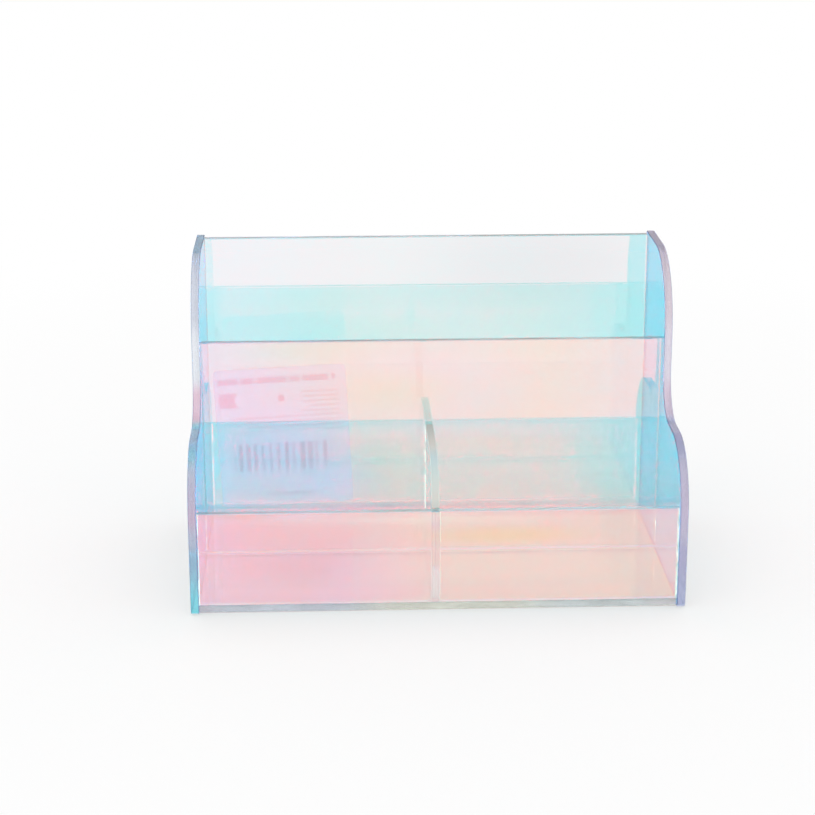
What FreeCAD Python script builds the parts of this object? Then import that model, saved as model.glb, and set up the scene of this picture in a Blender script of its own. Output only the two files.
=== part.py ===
# Two-tier desk organizer of film-faced clear acrylic, for rolls of washi tape and small craft parts.
#
# Flat sheets of one thickness are cut to outline, polished on their edges and cemented together:
# two stepped side panels carry a base, a low front panel, a middle panel and a tall back panel, and a
# short divider splits the front compartment in two. A blank paper label is stuck to the back's outside.
#
# The origin is at the bottom centre of the whole organizer. +X is to the right of someone who faces
# the low front, +Y runs from the front to the back and +Z is up. Sizes are in millimetres and degrees.

import FreeCAD, Part
import os

import Sketcher
from FreeCAD import Vector

SIZES = {
    # the whole organizer
    "overall_width": 180.0,
    "overall_depth": 102.0,
    "side_height": 118.5,
    # the sheet that every panel is cut from, its polished arris, and the film of cement in a joint
    "sheet": 3.0,
    "arris": 0.3,
    "glue_line": 0.05,
    # the stepped outline of the two side panels
    "upper_front": 49.5,
    "lower_height": 60.0,
    "upper_shoulder": 28.0,
    "lower_shoulder": 24.0,
    "step_fillet": 16.0,
    "foot_round": 2.5,
    # the cross panels: each height is that of the top edge above the ground
    "front_recess": 2.5,
    "front_height": 38.0,
    "middle_setback": 6.5,
    "middle_height": 87.0,
    "back_drop": 1.0,
    # the divider of the front compartment
    "divider_height": 54.0,
    "divider_shoulder": 22.0,
    "divider_offset": -1.0,
    # the blank label on the outside of the back panel, placed by its middle
    "label_width": 53.0,
    "label_height": 58.0,
    "label_thickness": 0.15,
    "label_corner": 2.0,
    "label_from_middle": -57.6,
    "label_above_ground": 35.7,
    "label_tilt": 2.9,
}

# Places that more than one panel uses, as expressions on the sheet of sizes.
FRONT_OF_SIDES = "-(sizes.overall_depth + sizes.glue_line + sizes.label_thickness) / 2"
INNER_WIDTH = "sizes.overall_width - 2 * sizes.sheet"
PANEL_WIDTH = f"{INNER_WIDTH} - 2 * sizes.glue_line"
FLOOR_TOP = "sizes.sheet + sizes.glue_line"
MIDDLE_FACE = "sizes.upper_front + sizes.middle_setback"
TOUCHING = 1e-6


def size(name):
    return SIZES[name]


def make_sheet_of_sizes(doc):
    """The spreadsheet that drives every sub-part: a name, a plain number and an alias on each row."""
    table = doc.addObject("Spreadsheet::Sheet", "sizes")
    for row, (name, value) in enumerate(SIZES.items(), start=1):
        table.set(f"A{row}", name)
        table.set(f"B{row}", str(value))
        table.setAlias(f"B{row}", name)
    doc.recompute()


def new_body(doc, label):
    body = doc.addObject("PartDesign::Body", label)
    body.Label = label
    return body


def new_sketch(body, plane, name):
    """A sketch on one of the body's own origin planes."""
    sketch = body.newObject("Sketcher::SketchObject", name)
    origin_plane = next(f for f in body.Origin.OriginFeatures if f.Role == plane)
    sketch.AttachmentSupport = [(origin_plane, "")]
    sketch.MapMode = "FlatFace"
    return sketch


def drive(sketch, name, constraint, expression):
    """Add a dimension to a sketch and bind it to the sheet of sizes."""
    index = sketch.addConstraint(constraint)
    sketch.renameConstraint(index, name)
    sketch.setExpression(f"Constraints.{name}", expression)


def draw_outline(sketch, corners, radii):
    """Draw a closed outline of level and upright runs, with tangent arcs at the rounded corners.

    corners are (x, y) in anticlockwise order; radii holds one value for each corner, 0 for a square
    one. Returns the run that leaves each corner, and a dictionary of the arc at each rounded one.
    """
    count = len(corners)
    points = [Vector(x, y, 0) for x, y in corners]
    headings = [(points[(i + 1) % count] - points[i]).normalize() for i in range(count)]
    ends = [points[i] - headings[i - 1] * radii[i] for i in range(count)]
    starts = [points[i] + headings[i] * radii[i] for i in range(count)]
    runs = []
    for i in range(count):
        runs.append(sketch.addGeometry(Part.LineSegment(starts[i], ends[(i + 1) % count]), False))
    arcs = {}
    for i, radius in enumerate(radii):
        if not radius:
            sketch.addConstraint(Sketcher.Constraint("Coincident", runs[i - 1], 2, runs[i], 1))
            continue
        centre = points[i] + (headings[i] - headings[i - 1]) * radius
        middle = centre + (points[i] - centre).normalize() * radius
        arcs[i] = sketch.addGeometry(Part.Arc(ends[i], middle, starts[i]), False)
        concave = headings[i - 1].cross(headings[i]).z < 0
        first, last = (2, 1) if concave else (1, 2)
        sketch.addConstraint(Sketcher.Constraint("Tangent", runs[i - 1], 2, arcs[i], first))
        sketch.addConstraint(Sketcher.Constraint("Tangent", arcs[i], last, runs[i], 1))
    for run, heading in zip(runs, headings):
        lie = "Horizontal" if abs(heading.y) < TOUCHING else "Vertical"
        sketch.addConstraint(Sketcher.Constraint(lie, run))
    return runs, arcs


def draw_panel(sketch, width, rise, width_rule, rise_rule):
    """A square-cornered panel, centred on the vertical axis, that stands on the horizontal one."""
    half = width / 2
    runs, arcs = draw_outline(sketch, [(-half, 0), (half, 0), (half, rise), (-half, rise)], [0] * 4)
    floor, wall = runs[0], runs[1]
    sketch.addConstraint(Sketcher.Constraint("PointOnObject", floor, 1, -1))
    drive(sketch, "half", Sketcher.Constraint("DistanceX", floor, 1, -1, 1, half), f"({width_rule}) / 2")
    drive(sketch, "width", Sketcher.Constraint("DistanceX", floor, 1, floor, 2, width), width_rule)
    drive(sketch, "rise", Sketcher.Constraint("DistanceY", wall, 1, wall, 2, rise), rise_rule)


def pad(body, sketch, thickness_rule, away=False):
    """Give a sketch its thickness; away pads against the sketch's own normal."""
    feature = body.newObject("PartDesign::Pad", "sheet_pad")
    feature.Profile = sketch
    feature.Reversed = away
    feature.setExpression("Length", thickness_rule)
    sketch.Visibility = False
    body.Document.recompute()
    return feature


def break_edges(body, feature, wanted):
    """Take the polished arris off the exposed edges, which are those that wanted picks."""
    edges = [f"Edge{i}" for i, edge in enumerate(feature.Shape.Edges, start=1) if wanted(edge)]
    chamfer = body.newObject("PartDesign::Chamfer", "polished_arris")
    chamfer.Base = (feature, edges)
    chamfer.setExpression("Size", "sizes.arris")
    body.Document.recompute()


def corners_of(edge):
    """The two ends of an edge, in the coordinates of its own body."""
    return [vertex.Point for vertex in edge.Vertexes]


def place(body, x_rule, y_rule, z_rule):
    body.setExpression("Placement.Base.x", x_rule)
    body.setExpression("Placement.Base.y", y_rule)
    body.setExpression("Placement.Base.z", z_rule)


def side_panel(doc, label, x_rule):
    """A side: square at the back, with a tall and a low tier in front. Each tier ends in a convex
    shoulder, and a concave fillet joins the upper tier's front edge to the top of the lower one."""
    body = new_body(doc, label)
    sketch = new_sketch(body, "YZ_Plane", f"{label}_outline")
    depth, height = size("overall_depth"), size("side_height")
    step, shelf = size("upper_front"), size("lower_height")
    corners = [(0, 0), (depth, 0), (depth, height), (step, height), (step, shelf), (0, shelf)]
    radii = [
        size("foot_round"), 0, 0, size("upper_shoulder"), size("step_fillet"), size("lower_shoulder"),
    ]
    runs, arcs = draw_outline(sketch, corners, radii)
    ground, rear, top, upper, tier, front = runs
    sketch.addConstraint(Sketcher.Constraint("PointOnObject", ground, 1, -1))
    sketch.addConstraint(Sketcher.Constraint("PointOnObject", front, 1, -2))
    drive(sketch, "depth", Sketcher.Constraint("DistanceX", -1, 1, ground, 2, depth), "sizes.overall_depth")
    drive(sketch, "height", Sketcher.Constraint("DistanceY", rear, 1, rear, 2, height), "sizes.side_height")
    drive(sketch, "step", Sketcher.Constraint("DistanceX", -1, 1, upper, 1, step), "sizes.upper_front")
    drive(sketch, "shelf", Sketcher.Constraint("DistanceY", -1, 1, tier, 1, shelf), "sizes.lower_height")
    for corner, name in ((0, "foot_round"), (3, "upper_shoulder"), (4, "step_fillet"), (5, "lower_shoulder")):
        drive(sketch, name, Sketcher.Constraint("Radius", arcs[corner], size(name)), f"sizes.{name}")
    feature = pad(body, sketch, "sizes.sheet")

    def on_a_broad_face(edge):
        first, last = corners_of(edge)
        return abs(first.x - last.x) < TOUCHING

    break_edges(body, feature, on_a_broad_face)
    place(body, x_rule, FRONT_OF_SIDES, "0")
    return body


def cross_panel(doc, label, top_rule, top, y_rule):
    """A panel that stands on the base between the sides, with its top edge polished."""
    body = new_body(doc, label)
    sketch = new_sketch(body, "XZ_Plane", f"{label}_outline")
    floor_top = size("sheet") + size("glue_line")
    width = size("overall_width") - 2 * size("sheet") - 2 * size("glue_line")
    draw_panel(sketch, width, top - floor_top, PANEL_WIDTH, f"{top_rule} - ({FLOOR_TOP})")
    feature = pad(body, sketch, "sizes.sheet", away=True)
    panel_height = feature.Shape.BoundBox.ZMax

    def along_the_top(edge):
        first, last = corners_of(edge)
        at_top = min(first.z, last.z) > panel_height - TOUCHING
        return at_top and abs(first.y - last.y) < TOUCHING

    break_edges(body, feature, along_the_top)
    place(body, "0", f"{FRONT_OF_SIDES} + {y_rule}", FLOOR_TOP)
    return body


def base_panel(doc):
    """The floor: it lies between the sides, flush with the front panel's face and the sides' rear."""
    body = new_body(doc, "base_panel")
    sketch = new_sketch(body, "XY_Plane", "base_panel_outline")
    width = size("overall_width") - 2 * size("sheet") - 2 * size("glue_line")
    depth = size("overall_depth") - size("front_recess")
    draw_panel(sketch, width, depth, PANEL_WIDTH, "sizes.overall_depth - sizes.front_recess")
    feature = pad(body, sketch, "sizes.sheet")

    def long_and_underneath(edge):
        first, last = corners_of(edge)
        at_bottom = max(first.z, last.z) < TOUCHING
        return at_bottom and abs(first.y - last.y) < TOUCHING

    break_edges(body, feature, long_and_underneath)
    place(body, "0", f"{FRONT_OF_SIDES} + sizes.front_recess", "0")
    return body


def centre_divider(doc):
    """The short divider between the front and middle panels, with one convex shoulder at its front."""
    body = new_body(doc, "centre_divider")
    sketch = new_sketch(body, "YZ_Plane", "centre_divider_outline")
    front_rule = "sizes.front_recess + sizes.sheet + sizes.glue_line"
    depth_rule = f"{MIDDLE_FACE} - sizes.glue_line - ({front_rule})"
    rise_rule = f"sizes.divider_height - ({FLOOR_TOP})"
    front = size("front_recess") + size("sheet") + size("glue_line")
    depth = size("upper_front") + size("middle_setback") - size("glue_line") - front
    rise = size("divider_height") - size("sheet") - size("glue_line")
    corners = [(0, 0), (depth, 0), (depth, rise), (0, rise)]
    runs, arcs = draw_outline(sketch, corners, [0, 0, 0, size("divider_shoulder")])
    floor, rear = runs[0], runs[1]
    sketch.addConstraint(Sketcher.Constraint("Coincident", floor, 1, -1, 1))
    drive(sketch, "depth", Sketcher.Constraint("DistanceX", floor, 1, floor, 2, depth), depth_rule)
    drive(sketch, "rise", Sketcher.Constraint("DistanceY", rear, 1, rear, 2, rise), rise_rule)
    shoulder = Sketcher.Constraint("Radius", arcs[3], size("divider_shoulder"))
    drive(sketch, "shoulder", shoulder, "sizes.divider_shoulder")
    feature = pad(body, sketch, "sizes.sheet")
    shoulder_foot = rise - size("divider_shoulder")

    def on_the_curved_top(edge):
        first, last = corners_of(edge)
        on_a_face = abs(first.x - last.x) < TOUCHING
        return on_a_face and min(first.z, last.z) > shoulder_foot - TOUCHING

    break_edges(body, feature, on_the_curved_top)
    place(body, "sizes.divider_offset - sizes.sheet / 2", f"{FRONT_OF_SIDES} + {front_rule}", FLOOR_TOP)
    return body


def blank_label(doc):
    """The paper label, stuck a little out of square on the outside of the back panel."""
    body = new_body(doc, "blank_label")
    sketch = new_sketch(body, "XZ_Plane", "blank_label_outline")
    half_width, half_height = size("label_width") / 2, size("label_height") / 2
    corners = [(-1, -1), (1, -1), (1, 1), (-1, 1)]
    outline = [(x * half_width, y * half_height) for x, y in corners]
    radius = size("label_corner")
    runs, arcs = draw_outline(sketch, outline, [radius] * 4)
    for corner in (1, 2, 3):
        sketch.addConstraint(Sketcher.Constraint("Equal", arcs[0], arcs[corner]))
    drive(sketch, "corner", Sketcher.Constraint("Radius", arcs[0], radius), "sizes.label_corner")
    across, upright = half_width - radius, half_height - radius
    across_rule = "sizes.label_width / 2 - sizes.label_corner"
    upright_rule = "sizes.label_height / 2 - sizes.label_corner"
    floor, wall = runs[0], runs[1]
    drive(sketch, "left", Sketcher.Constraint("DistanceX", floor, 1, -1, 1, across), across_rule)
    drive(sketch, "right", Sketcher.Constraint("DistanceX", -1, 1, floor, 2, across), across_rule)
    drive(sketch, "lower", Sketcher.Constraint("DistanceY", wall, 1, -1, 1, upright), upright_rule)
    drive(sketch, "upper", Sketcher.Constraint("DistanceY", -1, 1, wall, 2, upright), upright_rule)
    pad(body, sketch, "sizes.label_thickness", away=True)
    turned = FreeCAD.Rotation(Vector(0, -1, 0), size("label_tilt"))
    body.Placement = FreeCAD.Placement(Vector(0, 0, 0), turned)
    body.setExpression("Placement.Rotation.Angle", "sizes.label_tilt")
    outside = f"{FRONT_OF_SIDES} + sizes.overall_depth + sizes.glue_line"
    place(body, "sizes.label_from_middle", outside, "sizes.label_above_ground")
    return body


def check(doc, bodies):
    """Stop if any object failed, or a sub-part has no sound solid."""
    for thing in doc.Objects:
        if {"Invalid", "Error"} & set(thing.State):
            raise RuntimeError(f"{thing.Label} failed: {thing.State}")
    for body in bodies:
        if body.Shape.isNull() or not body.Shape.isValid() or len(body.Shape.Solids) != 1:
            raise RuntimeError(f"{body.Label} has no single sound solid")


def build():
    doc = FreeCAD.newDocument("washi_tape_organizer")
    make_sheet_of_sizes(doc)
    back_top = size("side_height") - size("back_drop")
    bodies = [
        base_panel(doc),
        side_panel(doc, "left_side_panel", "-sizes.overall_width / 2"),
        side_panel(doc, "right_side_panel", "sizes.overall_width / 2 - sizes.sheet"),
        cross_panel(doc, "front_panel", "sizes.front_height", size("front_height"), "sizes.front_recess"),
        cross_panel(doc, "middle_panel", "sizes.middle_height", size("middle_height"), MIDDLE_FACE),
        cross_panel(
            doc, "back_panel", "sizes.side_height - sizes.back_drop", back_top,
            "sizes.overall_depth - sizes.sheet",
        ),
        centre_divider(doc),
        blank_label(doc),
    ]
    doc.recompute()
    check(doc, bodies)
    return bodies


os.makedirs("parts", exist_ok=True)
for sub_part in build():
    sub_part.Shape.exportStep(f"parts/{sub_part.Label}.step")
    box = sub_part.Shape.BoundBox
    spans = ", ".join(
        f"{low:.2f}..{high:.2f}"
        for low, high in ((box.XMin, box.XMax), (box.YMin, box.YMax), (box.ZMin, box.ZMax))
    )
    print(f"{sub_part.Label}: {spans}, volume {sub_part.Shape.Volume:.1f}")
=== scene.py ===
# Two-tier desk organizer of iridescent acrylic, for rolls of washi tape and small craft parts.
#
# All but the divider is clear acrylic sheet, faced on one side with a film that passes some colours and
# mirrors the rest. The sheets are cut to outline, left satin on their edges and cemented together, so
# nearly every colour is light that the films have passed and mirrored between them. Metres, as in the
# frame.

from math import radians

import bmesh
import bpy
from mathutils import Matrix, Vector


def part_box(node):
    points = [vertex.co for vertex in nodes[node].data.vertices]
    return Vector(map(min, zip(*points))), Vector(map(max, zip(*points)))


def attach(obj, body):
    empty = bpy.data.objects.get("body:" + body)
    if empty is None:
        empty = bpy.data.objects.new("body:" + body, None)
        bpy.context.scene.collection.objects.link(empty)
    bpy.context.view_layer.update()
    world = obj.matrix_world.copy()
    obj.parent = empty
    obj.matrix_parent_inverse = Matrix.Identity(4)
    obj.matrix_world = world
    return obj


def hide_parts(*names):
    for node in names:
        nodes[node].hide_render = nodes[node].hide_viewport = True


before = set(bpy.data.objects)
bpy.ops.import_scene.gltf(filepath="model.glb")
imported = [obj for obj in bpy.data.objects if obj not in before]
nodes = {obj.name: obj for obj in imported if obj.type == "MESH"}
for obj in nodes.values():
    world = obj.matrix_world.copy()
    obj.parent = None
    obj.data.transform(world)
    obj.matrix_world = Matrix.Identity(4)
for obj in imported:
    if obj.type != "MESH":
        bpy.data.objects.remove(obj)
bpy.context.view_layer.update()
scene = bpy.context.scene

# ---------------------------------------------------------------------------------------------------
# Camera. It stands a little to the left of the organizer's middle and looks slightly down on its low
# front, from far enough back for the upright panels to stay upright in the picture.

CAMERA_AT = Vector((-0.03772, -0.76497, 0.29825))
CAMERA_SEES_TO = 40.0
CAMERA_TURNED_RIGHT = radians(2.115)
CAMERA_LOOKS_DOWN = radians(17.133)
CAMERA_ROLL = radians(-0.089)
LENS_MM, FILM_GATE_MM = 93.59, 36.0

camera_data = bpy.data.cameras.new("camera")
camera_data.lens = LENS_MM
camera_data.sensor_width = FILM_GATE_MM
camera_data.clip_end = CAMERA_SEES_TO
camera = bpy.data.objects.new("camera", camera_data)
scene.collection.objects.link(camera)
camera.matrix_world = (
    Matrix.Translation(CAMERA_AT)
    @ Matrix.Rotation(-CAMERA_TURNED_RIGHT, 4, "Z")
    @ Matrix.Rotation(radians(90) - CAMERA_LOOKS_DOWN, 4, "X")
    @ Matrix.Rotation(CAMERA_ROLL, 4, "Z")
)
scene.camera = camera
scene.view_settings.view_transform = "Standard"

# Light runs along inside the sheets and between the mirrors for many bounces before it comes out.
LIGHT_BOUNCES, PAPER_BOUNCES = 48, 6
scene.cycles.max_bounces = LIGHT_BOUNCES
scene.cycles.transmission_bounces = LIGHT_BOUNCES
scene.cycles.glossy_bounces = LIGHT_BOUNCES
scene.cycles.transparent_max_bounces = LIGHT_BOUNCES
scene.cycles.diffuse_bounces = PAPER_BOUNCES

# ---------------------------------------------------------------------------------------------------
# Studio. A wide sheet of white paper under the organizer, a white room all round it, and one large
# soft lamp high on the left. The paper keeps the soft shadow near the organizer, which rests on its
# fibres, so a little air lies between the two.

PAPER_SPAN = 14.0
AIR_UNDER = 0.00005
PAPER_WHITE = (0.98, 0.98, 0.98, 1.0)
PAPER_GRAIN, PAPER_TOOTH, TOOTH_STRENGTH = 900.0, 0.0002, 0.05
SHADOW_REACH, SHADOW_GONE = 0.30, 0.55
SHADOW_LIFT = 0.5
ROOM_LIGHT = 0.95
SOFTBOX_AT, SOFTBOX_SPAN, SOFTBOX_WATTS = Vector((-0.5, -0.6, 1.6)), 1.4, 2.0


def new_material(name):
    """A material with an empty tree and its output node, as (material, nodes, links, output)."""
    material = bpy.data.materials.new(name)
    material.use_nodes = True
    tree = material.node_tree
    tree.nodes.clear()
    return material, tree.nodes, tree.links, tree.nodes.new("ShaderNodeOutputMaterial")


def seen_directly(made, links):
    """A value of 1 for rays from the camera, from a mirror or through glass, and 0 for other rays."""
    light_path = made.new("ShaderNodeLightPath")
    total = light_path.outputs["Is Camera Ray"]
    for kind in ("Is Glossy Ray", "Is Transmission Ray"):
        either = made.new("ShaderNodeMath")
        either.operation = "MAXIMUM"
        links.new(total, either.inputs[0])
        links.new(light_path.outputs[kind], either.inputs[1])
        total = either.outputs[0]
    return total


bpy.ops.object.select_all(action="DESELECT")
bpy.ops.mesh.primitive_plane_add(size=PAPER_SPAN, location=(0, 0, -AIR_UNDER))
paper = bpy.context.object
paper.name = "studio_paper"

material, made, links, output = new_material("studio_paper_white")
place = made.new("ShaderNodeTexCoord")
distance = made.new("ShaderNodeVectorMath")
distance.operation = "LENGTH"
links.new(place.outputs["Object"], distance.inputs[0])
fade = made.new("ShaderNodeMapRange")
fade.interpolation_type = "SMOOTHSTEP"
fade.inputs["To Min"].default_value = SHADOW_LIFT
fade.inputs["From Min"].default_value = SHADOW_REACH
fade.inputs["From Max"].default_value = SHADOW_GONE
links.new(distance.outputs["Value"], fade.inputs["Value"])
lit_by_eye = made.new("ShaderNodeMath")
lit_by_eye.operation = "MULTIPLY"
links.new(fade.outputs["Result"], lit_by_eye.inputs[0])
links.new(seen_directly(made, links), lit_by_eye.inputs[1])
grain = made.new("ShaderNodeTexNoise")
grain.inputs["Scale"].default_value = PAPER_GRAIN
links.new(place.outputs["Object"], grain.inputs["Vector"])
tooth = made.new("ShaderNodeBump")
tooth.inputs["Strength"].default_value = TOOTH_STRENGTH
tooth.inputs["Distance"].default_value = PAPER_TOOTH
links.new(grain.outputs["Fac"], tooth.inputs["Height"])
matte = made.new("ShaderNodeBsdfDiffuse")
matte.inputs["Color"].default_value = PAPER_WHITE
links.new(tooth.outputs["Normal"], matte.inputs["Normal"])
white = made.new("ShaderNodeEmission")
both = made.new("ShaderNodeMixShader")
links.new(lit_by_eye.outputs[0], both.inputs["Fac"])
links.new(matte.outputs[0], both.inputs[1])
links.new(white.outputs[0], both.inputs[2])
links.new(both.outputs[0], output.inputs["Surface"])
paper.data.materials.append(material)

room = bpy.data.worlds.new("white_room")
room.use_nodes = True
made, links = room.node_tree.nodes, room.node_tree.links
room_light = made["Background"]
brightness = made.new("ShaderNodeMapRange")
brightness.inputs["To Min"].default_value = ROOM_LIGHT
brightness.inputs["To Max"].default_value = 1.0
links.new(seen_directly(made, links), brightness.inputs["Value"])
room_light.inputs["Color"].default_value = (1, 1, 1, 1)
links.new(brightness.outputs["Result"], room_light.inputs["Strength"])
scene.world = room

softbox_data = bpy.data.lights.new("softbox", "AREA")
softbox_data.size = SOFTBOX_SPAN
softbox_data.energy = SOFTBOX_WATTS
softbox = bpy.data.objects.new("softbox", softbox_data)
scene.collection.objects.link(softbox)
softbox.location = SOFTBOX_AT
softbox.rotation_euler = (-SOFTBOX_AT).to_track_quat("-Z", "Y").to_euler()

# ---------------------------------------------------------------------------------------------------
# Base panel. A rectangle of the filmed acrylic, film underneath, that lies between the two sides and
# carries the upright panels. Its edges are sawn and left satin, and cemented to the sides.

ACRYLIC_IOR = 1.49
SHEET = 0.003
HAIR = 0.00002
BLACK = (0.0, 0.0, 0.0, 1.0)
FILM_PASSES = (0.22, 0.74, 0.73, 1.0)
FILM_AT_ENDS = (0.20, 0.78, 0.94, 1.0)
FILM_MOTTLE = (0.30, 0.72, 0.68, 1.0)
FILM_KEEPS, FILM_BLUSH = (0.975, 0.915, 0.89, 1.0), (0.975, 0.89, 0.97, 1.0)
FILM_ENDS_FROM, FILM_ENDS_TO = 0.018, 0.086
FILM_DRAWN_AT, FILM_DRAWN_OUT = radians(24), (0.45, 1.0, 1.3)
CLOUD_SCALE, CLOUD_DETAIL, CLOUDS, CLOUD_SHARE = 17.0, 1.0, (0.40, 0.64), 0.7
BLUSH_SCALE, BLUSH_DETAIL, BLUSHES, BLUSH_AT_ENDS = 11.0, 0.6, (0.50, 0.68), 0.9
SLANT_PASSES, SLANT_MIRRORS = (0.05, 0.56, 0.90, 1.0), (0.10, 0.22, 0.08, 1.0)
TRAPPED_PASSES, TRAPPED_MIRRORS = (0.47, 0.48, 0.50, 1.0), (0.47, 0.47, 0.48, 1.0)
ASLANT_IN_SHEET, ASLANT_IN_AIR, TRAPPED = (0.06, 0.23), (0.15, 0.75), (0.27, 0.32)
CLEAR_TINT = (0.997, 0.998, 0.998, 1.0)
# The colour of a free cut edge and of its darker rims: painted light and shade.
EDGE_TINT, RIM_SHADE = (0.93, 0.92, 0.95, 1.0), (0.20, 0.28, 0.50, 1.0)
JOINT_TINT = (0.99, 0.91, 0.92, 1.0)
RIM_WIDTH = 0.0003
EDGE_SATIN = 0.22
SMEAR_SCALE, SMEAR_DETAIL, SMEAR_SHARPNESS, SMEAR_ROUGHNESS = 34.0, 4.0, 3.0, 0.07
WAVE_SCALE, WAVE_HEIGHT, WAVE_STRENGTH = 45.0, 0.00002, 0.16
PATCH_EDGE, PATCH_HEART, PATCH_THROUGH = 1.6, 0.1, 1000.0


def new_group(name, inputs, outputs):
    """A node group with named sockets, as (group, nodes, links, its input node, its output node)."""
    group = bpy.data.node_groups.new(name, "ShaderNodeTree")
    for socket, kind, value in inputs:
        made_socket = group.interface.new_socket(socket, in_out="INPUT", socket_type=f"NodeSocket{kind}")
        if value is not None:
            made_socket.default_value = value
    for socket, kind in outputs:
        group.interface.new_socket(socket, in_out="OUTPUT", socket_type=f"NodeSocket{kind}")
    entry, leave = group.nodes.new("NodeGroupInput"), group.nodes.new("NodeGroupOutput")
    return group, group.nodes, group.links, entry, leave


def maths(made, links, operation, first, second):
    """A Math node of two inputs, each a socket or a number."""
    node = made.new("ShaderNodeMath")
    node.operation = operation
    for slot, value in zip(node.inputs, (first, second)):
        if isinstance(value, bpy.types.NodeSocket):
            links.new(value, slot)
        else:
            slot.default_value = value
    return node.outputs[0]


def blended(made, links, share, first, second):
    """A colour that goes from first to second as share goes from 0 to 1."""
    node = made.new("ShaderNodeMix")
    node.data_type = "RGBA"
    for slot, value in ((node.inputs[0], share), (node.inputs[6], first), (node.inputs[7], second)):
        if isinstance(value, bpy.types.NodeSocket):
            links.new(value, slot)
        else:
            slot.default_value = value
    return node.outputs[2]


def noise(made, links, vector, scale, detail):
    """A soft noise from 0 to 1 that follows a place."""
    node = made.new("ShaderNodeTexNoise")
    node.inputs["Scale"].default_value = scale
    node.inputs["Detail"].default_value = detail
    links.new(vector, node.inputs["Vector"])
    return node.outputs["Fac"]


def ramp(made, links, value, low, high):
    """A value that goes smoothly from 0 at low to 1 at high."""
    node = made.new("ShaderNodeMapRange")
    node.interpolation_type = "SMOOTHSTEP"
    node.inputs["From Min"].default_value = low
    node.inputs["From Max"].default_value = high
    links.new(value, node.inputs["Value"])
    return node.outputs["Result"]


def away_from(made, links, value, middle):
    """How far a value lies from a middle, on either side."""
    return maths(made, links, "ABSOLUTE", maths(made, links, "SUBTRACT", value, middle), 0.0)


def place_on_piece(made, links):
    """Where a point lies on its piece, as one place and as sockets for X, Y and Z."""
    place = made.new("ShaderNodeTexCoord").outputs["Object"]
    split = made.new("ShaderNodeSeparateXYZ")
    links.new(place, split.inputs[0])
    return place, split.outputs


def wiped_polish(made, links, place, on_edge):
    """The roughness of polished acrylic: faint smears all over, and satin on its sawn edges."""
    smears = noise(made, links, place, SMEAR_SCALE, SMEAR_DETAIL)
    smears = maths(made, links, "POWER", smears, SMEAR_SHARPNESS)
    polish = maths(made, links, "MULTIPLY", smears, SMEAR_ROUGHNESS)
    satin = maths(made, links, "MULTIPLY", on_edge, EDGE_SATIN)
    return maths(made, links, "ADD", polish, satin)


film_group, made, links, entry, leave = new_group(
    "filmed_sheet",
    [
        ("Place", "Vector", None),
        ("Depth", "Float", 0.0),
        ("Free Above", "Float", -1.0),
        ("Free Within", "Float", 1.0),
        ("At Left", "Float", 1.0),
        ("At Right", "Float", 1.0),
        ("Film Passes", "Color", FILM_PASSES),
        ("Film At Ends", "Color", FILM_AT_ENDS),
        ("Film Mottle", "Color", FILM_MOTTLE),
        ("Film Keeps", "Color", FILM_KEEPS),
        ("Film Blush", "Color", FILM_BLUSH),
        ("Clear", "Color", CLEAR_TINT),
        ("Edge", "Color", EDGE_TINT),
        ("Edge Gleam", "Color", BLACK),
        ("Rim", "Color", RIM_SHADE),
        ("Joint", "Color", JOINT_TINT),
    ],
    [
        ("Passed", "Color"), ("Mirrored", "Color"), ("On Film", "Float"), ("Roughness", "Float"),
        ("Normal", "Vector"),
    ],
)
split = made.new("ShaderNodeSeparateXYZ")
links.new(entry.outputs["Place"], split.inputs[0])

# Which face a point is on: the film, the clear face or the cut edge, and whether that edge is free.
on_film = maths(made, links, "LESS_THAN", entry.outputs["Depth"], HAIR)
links.new(on_film, leave.inputs["On Film"])
on_clear = maths(made, links, "GREATER_THAN", entry.outputs["Depth"], SHEET - HAIR)
sideways = maths(made, links, "ABSOLUTE", split.outputs["X"], 0.0)
not_cemented = maths(
    made, links, "MULTIPLY",
    maths(made, links, "GREATER_THAN", split.outputs["Z"], entry.outputs["Free Above"]),
    maths(made, links, "LESS_THAN", sideways, entry.outputs["Free Within"]),
)
on_broad = maths(made, links, "ADD", on_film, on_clear)
on_cut = maths(made, links, "SUBTRACT", 1.0, on_broad)
on_edge = maths(made, links, "MULTIPLY", on_cut, not_cemented)

# What the film passes, and what it keeps in all. What it keeps and doesn't pass, it mirrors.
near_left = ramp(made, links, split.outputs["X"], -FILM_ENDS_FROM, -FILM_ENDS_TO)
near_right = ramp(made, links, split.outputs["X"], FILM_ENDS_FROM, FILM_ENDS_TO)
near_end = maths(
    made, links, "ADD",
    maths(made, links, "MULTIPLY", near_left, entry.outputs["At Left"]),
    maths(made, links, "MULTIPLY", near_right, entry.outputs["At Right"]),
)
stretch = made.new("ShaderNodeMapping")
stretch.inputs["Rotation"].default_value = (0, FILM_DRAWN_AT, 0)
stretch.inputs["Scale"].default_value = FILM_DRAWN_OUT
links.new(entry.outputs["Place"], stretch.inputs["Vector"])
drawn_out = stretch.outputs["Vector"]
clouds = ramp(made, links, noise(made, links, drawn_out, CLOUD_SCALE, CLOUD_DETAIL), *CLOUDS)
blush = ramp(made, links, noise(made, links, drawn_out, BLUSH_SCALE, BLUSH_DETAIL), *BLUSHES)
passed = blended(made, links, near_end, entry.outputs["Film Passes"], entry.outputs["Film At Ends"])
cloudy = maths(made, links, "MULTIPLY", clouds, CLOUD_SHARE)
passed = blended(made, links, cloudy, passed, entry.outputs["Film Mottle"])
blushing = maths(made, links, "MAXIMUM", blush, maths(made, links, "MULTIPLY", near_end, BLUSH_AT_ENDS))
keeps = blended(made, links, blushing, entry.outputs["Film Keeps"], entry.outputs["Film Blush"])
left_over = made.new("ShaderNodeMix")
left_over.data_type = "RGBA"
left_over.blend_type = "SUBTRACT"
left_over.clamp_result = True
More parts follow.
